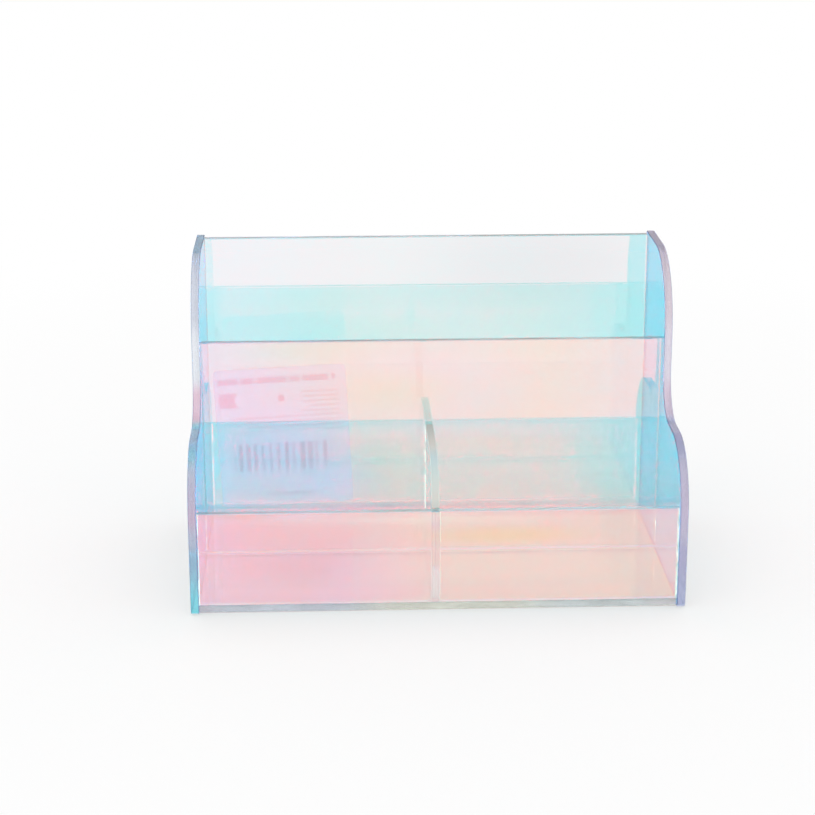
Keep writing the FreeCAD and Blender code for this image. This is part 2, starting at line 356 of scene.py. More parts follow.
left_over.inputs[0].default_value = 1.0
links.new(keeps, left_over.inputs[6])
links.new(passed, left_over.inputs[7])
mirrored = blended(made, links, on_film, BLACK, left_over.outputs[2])
links.new(blended(made, links, on_edge, mirrored, entry.outputs["Edge Gleam"]), leave.inputs["Mirrored"])

# A cut edge's colour, darker along its two rims, is painted light and shade for the light that runs
# along inside the sheet; a cemented edge has the colour of its joint.
broad = blended(made, links, on_film, entry.outputs["Clear"], passed)
from_clear = maths(made, links, "SUBTRACT", SHEET, entry.outputs["Depth"])
to_face = maths(made, links, "MINIMUM", entry.outputs["Depth"], from_clear)
in_from_rim = ramp(made, links, to_face, 0.0, RIM_WIDTH)
sawn = blended(made, links, in_from_rim, entry.outputs["Rim"], entry.outputs["Edge"])
cut = blended(made, links, not_cemented, entry.outputs["Joint"], sawn)
links.new(blended(made, links, on_cut, broad, cut), leave.inputs["Passed"])
links.new(wiped_polish(made, links, entry.outputs["Place"], on_edge), leave.inputs["Roughness"])
waviness = made.new("ShaderNodeBump")
waviness.inputs["Strength"].default_value = WAVE_STRENGTH
waviness.inputs["Distance"].default_value = WAVE_HEIGHT
links.new(noise(made, links, entry.outputs["Place"], WAVE_SCALE, 0.0), waviness.inputs["Height"])
links.new(waviness.outputs["Normal"], leave.inputs["Normal"])


def recolour(sheet, where, changes):
    """Change a sheet's film colours where a value is 1, over whatever changes were made before."""
    made, links = sheet.node_tree.nodes, sheet.node_tree.links
    for socket, colour in changes.items():
        film_input = made["film"].inputs[socket]
        usual = film_input.links[0].from_socket if film_input.is_linked else tuple(film_input.default_value)
        links.new(blended(made, links, where, usual, colour), film_input)


def odd_patch(sheet, middle, reach, changes):
    """Change a sheet's film colours softly over an ellipse: its middle and reach are in x and z."""
    made, links = sheet.node_tree.nodes, sheet.node_tree.links
    spread = made.new("ShaderNodeMapping")
    spread.vector_type = "TEXTURE"
    spread.inputs["Location"].default_value = (middle[0], 0, middle[1])
    spread.inputs["Scale"].default_value = (reach[0], PATCH_THROUGH, reach[1])
    links.new(made.new("ShaderNodeTexCoord").outputs["Object"], spread.inputs["Vector"])
    distance = made.new("ShaderNodeVectorMath")
    distance.operation = "LENGTH"
    links.new(spread.outputs["Vector"], distance.inputs[0])
    recolour(sheet, ramp(made, links, distance.outputs["Value"], PATCH_EDGE, PATCH_HEART), changes)


def film_angles(made, links, on_film):
    """How far aslant light meets the film, and whether it is trapped in the sheet, each from 0 to 1.
    Light that comes through the sheet meets the film less aslant than light from the air does."""
    facing = made.new("ShaderNodeLayerWeight").outputs["Facing"]
    from_inside = made.new("ShaderNodeNewGeometry").outputs["Backfacing"]
    inside = ramp(made, links, facing, *ASLANT_IN_SHEET)
    outside = ramp(made, links, facing, *ASLANT_IN_AIR)
    step = maths(made, links, "MULTIPLY", from_inside, maths(made, links, "SUBTRACT", inside, outside))
    aslant = maths(made, links, "MULTIPLY", maths(made, links, "ADD", outside, step), on_film)
    caught = maths(made, links, "MULTIPLY", ramp(made, links, facing, *TRAPPED), from_inside)
    return aslant, maths(made, links, "MULTIPLY", caught, on_film)


def filmed_sheet(name, film_normal, film_at, slant=(SLANT_PASSES, SLANT_MIRRORS), colours=()):
    """The filmed acrylic of one panel. film_normal is the way its film faces, and film_at how far out
    along that way the film lies, so that each face knows if it is film, clear sheet or sawn edge."""
    material, made, links, output = new_material(name)
    place = made.new("ShaderNodeTexCoord").outputs["Object"]
    outwards = made.new("ShaderNodeVectorMath")
    outwards.operation = "DOT_PRODUCT"
    outwards.inputs[1].default_value = film_normal
    links.new(place, outwards.inputs[0])
    surface = made.new("ShaderNodeGroup")
    surface.name = "film"
    surface.node_tree = film_group
    links.new(place, surface.inputs["Place"])
    links.new(maths(made, links, "SUBTRACT", film_at, outwards.outputs["Value"]), surface.inputs["Depth"])
    for socket, colour in dict(colours).items():
        surface.inputs[socket].default_value = colour
    glass = made.new("ShaderNodeBsdfGlass")
    glass.inputs["IOR"].default_value = ACRYLIC_IOR
    mirror = made.new("ShaderNodeBsdfAnisotropic")
    aslant, trapped = film_angles(made, links, surface.outputs["On Film"])
    for shader, straight, slanted, grazing in (
        (glass, "Passed", slant[0], TRAPPED_PASSES),
        (mirror, "Mirrored", slant[1], TRAPPED_MIRRORS),
    ):
        colour = blended(made, links, aslant, surface.outputs[straight], slanted)
        colour.node.name = f"slanted_{straight}"
        links.new(blended(made, links, trapped, colour, grazing), shader.inputs["Color"])
    for shader in (glass, mirror):
        links.new(surface.outputs["Roughness"], shader.inputs["Roughness"])
        links.new(surface.outputs["Normal"], shader.inputs["Normal"])
    together = made.new("ShaderNodeAddShader")
    links.new(glass.outputs[0], together.inputs[0])
    links.new(mirror.outputs[0], together.inputs[1])
    links.new(together.outputs[0], output.inputs["Surface"])
    return material


def dress(piece, material):
    """Put one material in all of a piece's slots."""
    if not piece.material_slots:
        piece.data.materials.append(material)
    for slot in piece.material_slots:
        slot.material = material


base_low, base_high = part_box("base_panel")
BASE_SLANT = (0.31, 0.64, 0.59, 1.0), (0.71, 0.24, 0.11, 1.0)
BASE_SLANT_LEFT = (0.27, 0.59, 0.70, 1.0), (0.70, 0.16, 0.22, 1.0)
SLANT_TURNS = 0.010, -0.040
# Its free edges' colours and rims, here and below, are painted light and shade.
BASE_EDGE_LEFT, EDGE_TURNS_LEFT = {"Edge": (0.83, 0.835, 0.815, 1.0)}, (-0.012, -0.040)
BASE_EDGE_RIGHT, EDGE_TURNS_RIGHT = {"Edge": (0.855, 0.865, 0.805, 1.0)}, (0.028, 0.050)
BASE_EDGES = {
    "At Right": 0.6,
    "Edge": (0.92, 0.90, 0.785, 1.0),
    "Rim": (0.67, 0.70, 0.69, 1.0),
    "Free Within": base_high[0] - HAIR,
}
base_sheet = filmed_sheet("filmed_acrylic_base", (0, 0, -1), -base_low[2], BASE_SLANT, BASE_EDGES)
dress(nodes["base_panel"], base_sheet)

# Seen aslant, its film mirrors a bluer pink on the left and a warmer one on the right.
made, links = base_sheet.node_tree.nodes, base_sheet.node_tree.links
place, at = place_on_piece(made, links)
on_left = ramp(made, links, at["X"], *SLANT_TURNS)
for kind, colour, colour_left in zip(("Passed", "Mirrored"), BASE_SLANT, BASE_SLANT_LEFT):
    links.new(blended(made, links, on_left, colour, colour_left), made[f"slanted_{kind}"].inputs[7])

# Its front edge's painted light is bluer toward the left end and greener toward the right.
recolour(base_sheet, ramp(made, links, at["X"], *EDGE_TURNS_LEFT), BASE_EDGE_LEFT)
recolour(base_sheet, ramp(made, links, at["X"], *EDGE_TURNS_RIGHT), BASE_EDGE_RIGHT)

# ---------------------------------------------------------------------------------------------------
# Side panels. Two like pieces of the filmed acrylic, film outwards, cut to a stepped outline: square
# at the back, with a rounded shoulder on each tier and a hollow curve between them. All the other
# panels but the divider are cemented to them.

UPPER_FRONT = 0.0495
LOWER_HEIGHT = 0.060
UPPER_SHOULDER, STEP_FILLET, LOWER_SHOULDER, FOOT_ROUND = 0.028, 0.016, 0.024, 0.0025
ARRIS = 0.0003

# Painted edge light: tints at the foot, on the lower tier, on the upper tier and at the upper shoulder.
LEFT_TINTS = (
    (0.56, 0.92, 0.98, 1.0), (0.94, 0.68, 0.77, 1.0),
    (0.98, 0.99, 1.0, 1.0), (0.80, 0.82, 0.88, 1.0),
)
RIGHT_TINTS = (
    (0.84, 0.88, 0.95, 1.0), (0.90, 0.78, 0.85, 1.0),
    (0.94, 0.90, 0.94, 1.0), (0.88, 0.80, 0.82, 1.0),
)
FOOT_GLEAM, LOWER_GLEAM = (0.04, 0.11, 0.06, 1.0), (0.06, 0.0, 0.0, 1.0)
FOOT_FADE, UPPER_TIER_FADE, SHOULDER_FADE = (0.022, 0.004), (0.048, 0.066), (0.088, 0.100)
ARC_STEPS = 28
ALONG = 0.99
FLAT_WITHIN, SMOOTH_UNDER, SHARP_OVER = radians(1), radians(20), radians(60)


def pick(piece, kind, wanted):
    """In edit mode, select the edges or faces that wanted picks by their middle and direction."""
    bpy.ops.mesh.select_mode(type=kind)
    bpy.ops.mesh.select_all(action="DESELECT")
    shape = bmesh.from_edit_mesh(piece.data)
    if kind == "FACE":
        for face in shape.faces:
            face.select_set(wanted(face.calc_center_median(), face.normal))
    else:
        for edge in shape.edges:
            first, last = (vertex.co for vertex in edge.verts)
            edge.select_set(wanted((first + last) / 2, (last - first).normalized()))
    bmesh.update_edit_mesh(piece.data)


def cut_sheet(name, low, high):
    """A square-cornered sheet between two corners, left in edit mode."""
    low, high = Vector(low), Vector(high)
    bpy.ops.object.select_all(action="DESELECT")
    bpy.ops.mesh.primitive_cube_add(size=1, location=(low + high) / 2, scale=high - low)
    piece = bpy.context.object
    piece.name = name
    bpy.ops.object.transform_apply(location=True, rotation=True, scale=True)
    bpy.ops.object.mode_set(mode="EDIT")
    return piece


def round_corner(piece, y, z, radius, steps):
    """Round the corner that runs through the sheet at (y, z)."""
    corner = Vector((0, y, z))

    def is_corner(middle, way):
        return abs(way.x) > ALONG and (middle - corner).yz.length < HAIR

    pick(piece, "EDGE", is_corner)
    bpy.ops.mesh.bevel(offset=radius, segments=steps, affect="EDGES")


def finish_sheet(piece):
    """Leave edit mode, break the sharp edges and shade the curves smooth."""
    bpy.ops.mesh.select_all(action="SELECT")
    bpy.ops.mesh.normals_make_consistent(inside=False)
    bpy.ops.object.mode_set(mode="OBJECT")
    arris = piece.modifiers.new("arris", "BEVEL")
    arris.width = ARRIS
    arris.segments = 2
    arris.limit_method = "ANGLE"
    arris.angle_limit = SHARP_OVER
    bpy.ops.object.modifier_apply(modifier=arris.name)
    bpy.ops.object.shade_smooth_by_angle(angle=SMOOTH_UNDER)


side_low, side_high = (Vector(corner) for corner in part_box("left_side_panel"))
step_at = side_low.y + UPPER_FRONT
left_side = cut_sheet("left_side", side_low, (side_high.x, side_high.y, side_low.z + LOWER_HEIGHT))
bpy.ops.mesh.select_all(action="SELECT")
bpy.ops.mesh.bisect(plane_co=(0, step_at, 0), plane_no=(0, 1, 0))
pick(left_side, "FACE", lambda middle, normal: normal.z > ALONG and middle.y > step_at)
bpy.ops.mesh.extrude_faces_move(
    TRANSFORM_OT_shrink_fatten={"value": side_high.z - side_low.z - LOWER_HEIGHT}
)
bpy.ops.mesh.select_all(action="SELECT")
bpy.ops.mesh.dissolve_limited(angle_limit=FLAT_WITHIN)
for y, z, radius, steps in (
    (step_at, side_high.z, UPPER_SHOULDER, ARC_STEPS),
    (step_at, side_low.z + LOWER_HEIGHT, STEP_FILLET, ARC_STEPS),
    (side_low.y, side_low.z + LOWER_HEIGHT, LOWER_SHOULDER, ARC_STEPS),
    (side_low.y, side_low.z, FOOT_ROUND, ARC_STEPS // 3),
):
    round_corner(left_side, y, z, radius, steps)
finish_sheet(left_side)
left_sheet = filmed_sheet("filmed_acrylic_left_side", (-1, 0, 0), -side_low.x)
dress(left_side, left_sheet)

right_low, right_high = (Vector(corner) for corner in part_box("right_side_panel"))
right_side = left_side.copy()
right_side.name = "right_side"
right_side.data = left_side.data.copy()
right_side.data.transform(Matrix.Translation((right_low.x - side_low.x, 0, 0)))
scene.collection.objects.link(right_side)
right_sheet = filmed_sheet("filmed_acrylic_right_side", (1, 0, 0), right_high.x)
dress(right_side, right_sheet)

# Their edges gather light from the films, which is painted into their colour from the foot to the
# upper shoulder: teal at the left foot, lilac-grey on the lower tier, paler on the upper one. The left
# foot has a painted gleam.
for sheet, tints in ((left_sheet, LEFT_TINTS), (right_sheet, RIGHT_TINTS)):
    at_foot, on_lower, on_upper, at_shoulder = tints
    made, links = sheet.node_tree.nodes, sheet.node_tree.links
    place, at = place_on_piece(made, links)
    near_foot = ramp(made, links, at["Z"], *FOOT_FADE)
    upper_tier = ramp(made, links, at["Z"], *UPPER_TIER_FADE)
    near_shoulder = ramp(made, links, at["Z"], *SHOULDER_FADE)
    tint = blended(made, links, near_foot, on_lower, at_foot)
    tint = blended(made, links, upper_tier, tint, on_upper)
    tint = blended(made, links, near_shoulder, tint, at_shoulder)
    links.new(tint, made["film"].inputs["Edge"])
    if sheet == left_sheet:
        gleam = blended(made, links, near_foot, LOWER_GLEAM, FOOT_GLEAM)
        gleam = blended(made, links, upper_tier, gleam, BLACK)
        links.new(gleam, made["film"].inputs["Edge Gleam"])

for side, node in ((left_side, "left_side_panel"), (right_side, "right_side_panel")):
    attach(side, "root")
    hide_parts(node)

# ---------------------------------------------------------------------------------------------------
# Front panel. The lowest of the three upright panels, of the same filmed acrylic, film to the front.
# It is set a little back from the sides' front edges, and cemented to the base and the sides.

CEMENT_CREEP = 0.00003
CEMENT_WHITE, CEMENT_GREY = (0.96, 0.97, 0.93, 1.0), (0.88, 0.92, 0.90, 1.0)
CEMENT_GLINT, GLINT_FADE = (0.97, 1.0, 0.84, 1.0), 0.002
LUMP_SCALE, LUMP_DETAIL, LUMPS = 140.0, 2.0, (0.3, 0.7)
CEMENT_GAPS, CEMENT_IN_GAPS = (0.36, 0.52), 0.25
BEAD_ROUNDED, BEAD_SMOOTH_UNDER = 0.85, radians(50)


def cement(name, glint, glint_top):
    """Set cement, lumpy and broken. Up to a height it glows by emission of its own, a painted glint for
    the light that runs in its joint.
    """
    material, made, links, output = new_material(name)
    shader = made.new("ShaderNodeBsdfPrincipled")
    shader.inputs["Roughness"].default_value = 0.3
    place, at = place_on_piece(made, links)
    lumps = noise(made, links, place, LUMP_SCALE, LUMP_DETAIL)
    thick = ramp(made, links, lumps, *LUMPS)
    links.new(blended(made, links, thick, CEMENT_GREY, CEMENT_WHITE), shader.inputs["Base Color"])
    whole = maths(made, links, "MULTIPLY", ramp(made, links, lumps, *CEMENT_GAPS), 1.0 - CEMENT_IN_GAPS)
    links.new(maths(made, links, "ADD", whole, CEMENT_IN_GAPS), shader.inputs["Alpha"])
    above = ramp(made, links, at["Z"], glint_top, glint_top + GLINT_FADE)
    links.new(blended(made, links, above, CEMENT_GLINT, BLACK), shader.inputs["Emission Color"])
    shader.inputs["Emission Strength"].default_value = glint
    links.new(shader.outputs[0], output.inputs["Surface"])
    return material


def cement_beads(name, corners, glint, glint_top=1.0):
    """Beads of cement up inside corners, made one piece. A corner is its x and y, the two ways, each
    1 or -1, in which it opens, the width of its bead, and the heights that the bead runs between."""
    beads = []
    for x, y, way_x, way_y, width, low_z, high_z in corners:
        root = Vector((x + way_x * CEMENT_CREEP, y + way_y * CEMENT_CREEP))
        toe = root + width * Vector((way_x, way_y))
        low = (min(root.x, toe.x), min(root.y, toe.y), low_z)
        high = (max(root.x, toe.x), max(root.y, toe.y), high_z)
        bead = cut_sheet(name, low, high)
        pick(bead, "EDGE", lambda middle, way: abs(way.z) > ALONG and (middle.xy - toe).length < HAIR)
        bpy.ops.mesh.bevel(offset=width * BEAD_ROUNDED, segments=4, profile=0.3, affect="EDGES")
        bpy.ops.mesh.select_all(action="SELECT")
        bpy.ops.mesh.normals_make_consistent(inside=False)
        bpy.ops.object.mode_set(mode="OBJECT")
        beads.append(bead)
    for bead in beads:
        bead.select_set(True)
    bpy.context.view_layer.objects.active = beads[0]
    bpy.ops.object.join()
    bpy.ops.object.shade_smooth_by_angle(angle=BEAD_SMOOTH_UNDER)
    dress(beads[0], cement(name, glint, glint_top))
    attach(beads[0], "root")


side_wall = right_low.x
front_low, front_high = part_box("front_panel")
# Its free top edge's dark colour and rims are painted shade.
FRONT_FILM = {
    "Film Passes": (0.22, 0.74, 0.70, 1.0),
    "Film Keeps": (0.965, 0.915, 0.85, 1.0),
    "Film Blush": (0.96, 0.92, 0.92, 1.0),
    "At Right": 0.12,
    "Edge": (0.24, 0.29, 0.30, 1.0),
    "Edge Gleam": (0.44, 0.54, 0.545, 1.0),
    "Rim": (0.35, 0.43, 0.44, 1.0),
    "Free Above": front_high[2] - HAIR,
}
AMBER = {"Film Keeps": (0.98, 0.92, 0.78, 1.0), "Film Blush": (0.98, 0.92, 0.80, 1.0)}
ROSY = {"Film Keeps": (0.92, 0.875, 0.84, 1.0), "Film Blush": (0.915, 0.88, 0.905, 1.0)}
PALE = {"Film Keeps": (0.97, 1.0, 0.93, 1.0), "Film Blush": (0.97, 1.0, 0.99, 1.0)}
FRONT_PATCHES = (
    ((0.024, 0.0285), (0.026, 0.0032), AMBER),
    ((-0.045, 0.0180), (0.024, 0.0080), ROSY),
    ((-0.012, 0.0362), (0.062, 0.0030), PALE),
)
LEFT_BEAD_HEIGHT = 0.010

# Its film is uneven in three soft patches, each given by its middle, its reach and its colours.
front_sheet = filmed_sheet("filmed_acrylic_front", (0, -1, 0), -front_low[1], colours=FRONT_FILM)
for middle, reach, colours in FRONT_PATCHES:
    odd_patch(front_sheet, middle, reach, colours)
dress(nodes["front_panel"], front_sheet)
# Its cement beads glow all along their height, a painted glint.
cement_beads(
    "front_cement",
    [
        (-side_wall, front_high[1], 1, 1, 0.00014, front_low[2], front_high[2]),
        (side_wall, front_high[1], -1, 1, 0.0001, front_low[2], front_high[2]),
        (-side_wall, front_low[1], 1, -1, 0.00006, front_low[2], front_low[2] + LEFT_BEAD_HEIGHT),
        (side_wall, front_low[1], -1, -1, 0.00008, front_low[2], front_high[2]),
    ],
    glint=1.1,
)

# ---------------------------------------------------------------------------------------------------
# Middle panel. The same filmed acrylic, film on its rear face. It parts the two front compartments from
# the rear one, stands just behind the step in the sides, and is cemented to them and to the base.

middle_low, middle_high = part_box("middle_panel")
# Its free top edge's colour and rims are painted shade.
MIDDLE_FILM = {
    "Film Passes": (0.15, 0.73, 0.71, 1.0),
    "Film At Ends": (0.17, 0.81, 0.94, 1.0),
    "Film Mottle": (0.25, 0.70, 0.66, 1.0),
    "Film Keeps": (1.0, 0.875, 0.775, 1.0),
    "Film Blush": (0.985, 0.875, 0.91, 1.0),
    "At Right": 0.6,
    "Edge": (0.60, 0.63, 0.60, 1.0),
    "Edge Gleam": (0.25, 0.26, 0.25, 1.0),
    "Rim": (0.44, 0.48, 0.49, 1.0),
    "Free Above": middle_high[2] - HAIR,
}
GREY = {"Film Keeps": (1.0, 0.89, 0.90, 1.0), "Film Blush": (0.985, 0.89, 0.93, 1.0)}
GREY_UNDER, GREY_MIDDLE, GREY_REACH = (0.0565, 0.0540), 0.020, (0.090, 0.030)
BEIGE = {"Film Passes": (0.48, 0.75, 0.72, 1.0), "Film Mottle": (0.50, 0.74, 0.70, 1.0)}
BEIGE_UNDER, BEIGE_OVER = (0.0560, 0.0548), (0.0450, 0.0530)
BEIGE_MIDDLE, BEIGE_REACH = -0.010, (0.095, 0.050)
FOOT_JOINT, FOOT_JOINT_FADE = {"Joint": (0.94, 0.865, 0.865, 1.0)}, (0.006, 0.004)
GREENISH = {"Film Keeps": (0.80, 0.90, 0.87, 1.0), "Film Blush": (0.80, 0.90, 0.87, 1.0)}
BLUISH = {
    "Film Passes": (0.14, 0.76, 0.93, 1.0),
    "Film Mottle": (0.16, 0.76, 0.93, 1.0),
    "Film Keeps": (0.97, 0.87, 0.97, 1.0),
    "Film Blush": (0.97, 0.87, 0.97, 1.0),
}
BLUER = {"Film Keeps": (0.86, 0.88, 0.97, 1.0), "Film Blush": (0.86, 0.88, 0.97, 1.0)}
DULL = {"Film Keeps": (0.925, 0.895, 0.79, 1.0), "Film Blush": (0.925, 0.895, 0.84, 1.0)}
PEACH = {"Film Keeps": (1.0, 0.875, 0.745, 1.0), "Film Blush": (1.0, 0.875, 0.80, 1.0)}
ASHEN = {"Film Keeps": (0.90, 0.89, 0.91, 1.0), "Film Blush": (0.90, 0.88, 0.93, 1.0)}
CYAN = {
    "Film Passes": (0.12, 0.82, 0.95, 1.0),
    "Film Mottle": (0.12, 0.82, 0.95, 1.0),
    "Film Keeps": (0.90, 0.94, 1.0, 1.0),
    "Film Blush": (0.90, 0.94, 1.0, 1.0),
}
# A painted reflection: a mauve band low across the film, where the base's film shows mirrored.
MAUVE_REFLECTION_BAND = {
    "Film Passes": (0.12, 0.64, 0.76, 1.0),
    "Film Mottle": (0.12, 0.64, 0.76, 1.0),
    "Film At Ends": (0.12, 0.64, 0.80, 1.0),
    "Film Keeps": (1.0, 0.80, 0.86, 1.0),
}
MIDDLE_PATCHES = (
    ((-0.018, 0.035), (0.018, 0.011), GREENISH),
    ((-0.060, 0.044), (0.026, 0.016), BLUISH),
    ((-0.041, 0.031), (0.020, 0.009), BLUER),
    ((-0.0645, 0.0825), (0.022, 0.0045), DULL),
    ((-0.014, 0.0665), (0.022, 0.0085), PEACH),
    ((0.024, 0.034), (0.034, 0.008), ASHEN),
    ((-0.086, 0.036), (0.010, 0.020), CYAN),
    ((0.078, 0.040), (0.022, 0.015), CYAN),
    ((-0.020, 0.0195), (0.130, 0.0026), MAUVE_REFLECTION_BAND),
)
LOW_GLINT_TOP, LOW_BEADS_TOP = 0.0165, 0.018

middle_sheet = filmed_sheet("filmed_acrylic_middle", (0, 1, 0), middle_high[1], colours=MIDDLE_FILM)

# Below the step, and most of all right of its middle, its film is greyer.
made, links = middle_sheet.node_tree.nodes, middle_sheet.node_tree.links
place, at = place_on_piece(made, links)
below_step = ramp(made, links, at["Z"], *GREY_UNDER)
near_grey = ramp(made, links, away_from(made, links, at["X"], GREY_MIDDLE), *GREY_REACH)
recolour(middle_sheet, maths(made, links, "MULTIPLY", below_step, near_grey), GREY)

# A beige strip runs just under the step, between the two ends.
strip = maths(
    made, links, "MULTIPLY",
    ramp(made, links, at["Z"], *BEIGE_UNDER), ramp(made, links, at["Z"], *BEIGE_OVER),
)
near_beige = ramp(made, links, away_from(made, links, at["X"], BEIGE_MIDDLE), *BEIGE_REACH)
recolour(middle_sheet, maths(made, links, "MULTIPLY", strip, near_beige), BEIGE)

# Soft patches, as on the front panel, each over those before it; the low mauve band among them is a
# painted reflection. Its foot's joint is a little darker.
for middle, reach, colours in MIDDLE_PATCHES:
    odd_patch(middle_sheet, middle, reach, colours)
recolour(middle_sheet, ramp(made, links, at["Z"], *FOOT_JOINT_FADE), FOOT_JOINT)
dress(nodes["middle_panel"], middle_sheet)
# Its cement beads glow up to LOW_GLINT_TOP, a painted glint, and not above it.
cement_beads(
    "middle_cement",
    [
        (-side_wall, middle_low[1], 1, -1, 0.00006, 0.0043, LOW_BEADS_TOP),
        (side_wall, middle_low[1], -1, -1, 0.00014, 0.0055, LOW_BEADS_TOP),
        (-side_wall, middle_low[1], 1, -1, 0.0001, LOW_BEADS_TOP, middle_high[2] - STEP_FILLET),
        (side_wall, middle_low[1], -1, -1, 0.0001, LOW_BEADS_TOP, middle_high[2] - STEP_FILLET),
    ],
    glint=0.9,
    glint_top=LOW_GLINT_TOP,
)

# ---------------------------------------------------------------------------------------------------
# Back panel. The tallest of the upright panels, of the same filmed acrylic, film on its outside. It is
# cemented to the base and between the sides, flush with their rear edges.

back_low, back_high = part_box("back_panel")
# Its free top edge's colour and rims are painted shade.
BACK_FILM = {
    "Film Keeps": (0.905, 0.895, 0.91, 1.0),
    "Film Blush": (0.92, 0.89, 0.93, 1.0),
    "Film At Ends": (0.30, 0.85, 0.92, 1.0),
    "At Right": 0.3,
    "Edge": (0.72, 0.73, 0.72, 1.0),
    "Edge Gleam": (0.20, 0.20, 0.19, 1.0),
    "Rim": (0.38, 0.42, 0.52, 1.0),
    "Free Above": back_high[2] - HAIR,
}
SMOKY = {"Film Keeps": (0.84, 0.84, 0.86, 1.0), "Film Blush": (0.85, 0.83, 0.85, 1.0)}
SMOKY_MIDDLE, SMOKY_REACH = (0.045, 0.105), (0.045, 0.020)

back_sheet = filmed_sheet("filmed_acrylic_back", (0, 1, 0), back_high[1], colours=BACK_FILM)
odd_patch(back_sheet, SMOKY_MIDDLE, SMOKY_REACH, SMOKY)
dress(nodes["back_panel"], back_sheet)

# ---------------------------------------------------------------------------------------------------
# Centre divider. Plain clear acrylic with no film, rounded at its front shoulder, cemented between the
# front and middle panels. Its edges look grey-green, as cut acrylic does.

DIVIDER_SHOULDER = 0.022
DIVIDER_CLEAR = (0.985, 0.99, 0.985, 1.0)
DIVIDER_EDGE = (0.93, 0.88, 0.84, 1.0)
# The colour of the scuffing and painted highlight on its free edge, and their shares there and along its
# arrises.
DIVIDER_SCUFF_AND_HIGHLIGHT = (0.92, 0.90, 0.85, 1.0)
EDGE_SCUFF_AND_HIGHLIGHT, ARRIS_HIGHLIGHT = 0.5, 0.4
REAR_BEADS_FROM, RIGHT_BEAD_TOP, FRONT_BEAD_TOP = 0.020, 0.030, 0.022

divider_low, divider_high = (Vector(corner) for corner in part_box("centre_divider"))
divider = cut_sheet("divider", divider_low, divider_high)
round_corner(divider, divider_low.y, divider_high.z, DIVIDER_SHOULDER, ARC_STEPS)
finish_sheet(divider)

material, made, links, output = new_material("clear_acrylic_divider")
place, at = place_on_piece(made, links)
from_middle = away_from(made, links, at["X"], (divider_low.x + divider_high.x) / 2)
on_face = maths(made, links, "GREATER_THAN", from_middle, SHEET / 2 - HAIR)
over_front = maths(made, links, "GREATER_THAN", at["Z"], front_high[2])
on_edge = maths(made, links, "MULTIPLY", maths(made, links, "SUBTRACT", 1.0, on_face), over_front)
clear = made.new("ShaderNodeBsdfPrincipled")
clear.inputs["Transmission Weight"].default_value = 1.0
clear.inputs["IOR"].default_value = ACRYLIC_IOR
links.new(blended(made, links, on_face, DIVIDER_EDGE, DIVIDER_CLEAR), clear.inputs["Base Color"])
links.new(wiped_polish(made, links, place, on_edge), clear.inputs["Roughness"])

# Where it stands free above the front panel, its edge carries scuffing and a painted highlight, and the
# painted highlight is strongest along its arrises.
scuff_and_highlight = made.new("ShaderNodeBsdfPrincipled")
scuff_and_highlight.inputs["Base Color"].default_value = DIVIDER_SCUFF_AND_HIGHLIGHT
scuff_and_highlight.inputs["Roughness"].default_value = 0.4
near_arris = ramp(made, links, from_middle, SHEET / 2 - ARRIS, SHEET / 2 - ARRIS / 2)
bright = maths(made, links, "MULTIPLY", near_arris, ARRIS_HIGHLIGHT)
bright = maths(made, links, "MULTIPLY", on_edge, maths(made, links, "ADD", bright, EDGE_SCUFF_AND_HIGHLIGHT))
both = made.new("ShaderNodeMixShader")
links.new(bright, both.inputs["Fac"])
links.new(clear.outputs[0], both.inputs[1])
links.new(scuff_and_highlight.outputs[0], both.inputs[2])
links.new(both.outputs[0], output.inputs["Surface"])
dress(divider, material)
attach(divider, "root")
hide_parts("centre_divider")
# Its cement beads glow all along their height, a painted glint.
cement_beads(
    "divider_cement",
    [
        (divider_low.x, divider_high.y, -1, -1, 0.00009, REAR_BEADS_FROM, divider_high.z - ARRIS),
        (divider_high.x, divider_high.y, 1, -1, 0.00008, REAR_BEADS_FROM, RIGHT_BEAD_TOP),
        (divider_low.x, divider_low.y, -1, 1, 0.00005, divider_low.z, FRONT_BEAD_TOP),
        (divider_high.x, divider_low.y, 1, 1, 0.0001, divider_low.z, front_high[2]),
    ],
    glint=0.9,
)

# ---------------------------------------------------------------------------------------------------
# Label. A paper sticker on the outside of the back panel, stuck on a little out of square. It bears
# no words: a pink bar, a pink box and plain grey rules and stripes, which show faintly through it.

LABEL_TILT = radians(2.9)
LABEL_WIDTH, LABEL_HEIGHT, LABEL_CORNER = 0.053, 0.058, 0.002
LABEL_PAPER, LABEL_FIBRES = (0.975, 0.975, 0.995, 1.0), (0.94, 0.94, 0.975, 1.0)
LABEL_BODY = 0.70
INK_PINK, INK_GREY = (0.90, 0.36, 0.56, 1.0), (0.55, 0.52, 0.60, 1.0)
INK_DARK = (0.42, 0.38, 0.49, 1.0)
INK_SOFTNESS = 0.00012
SHOW_THROUGH = 0.52
FIBRE_DETAIL, COCKLE_HEIGHT, COCKLE_STRENGTH = 3.0, 0.00003, 0.3
UNDER_LABEL_PASSES, UNDER_LABEL_KEEPS = (0.20, 0.80, 0.98, 1.0), (0.82, 0.92, 0.995, 1.0)
WET_FILM = {
    "Film Passes": UNDER_LABEL_PASSES,
    "Film At Ends": UNDER_LABEL_PASSES,
    "Film Mottle": UNDER_LABEL_PASSES,
    "Film Keeps": UNDER_LABEL_KEEPS,
    "Film Blush": UNDER_LABEL_KEEPS,
}

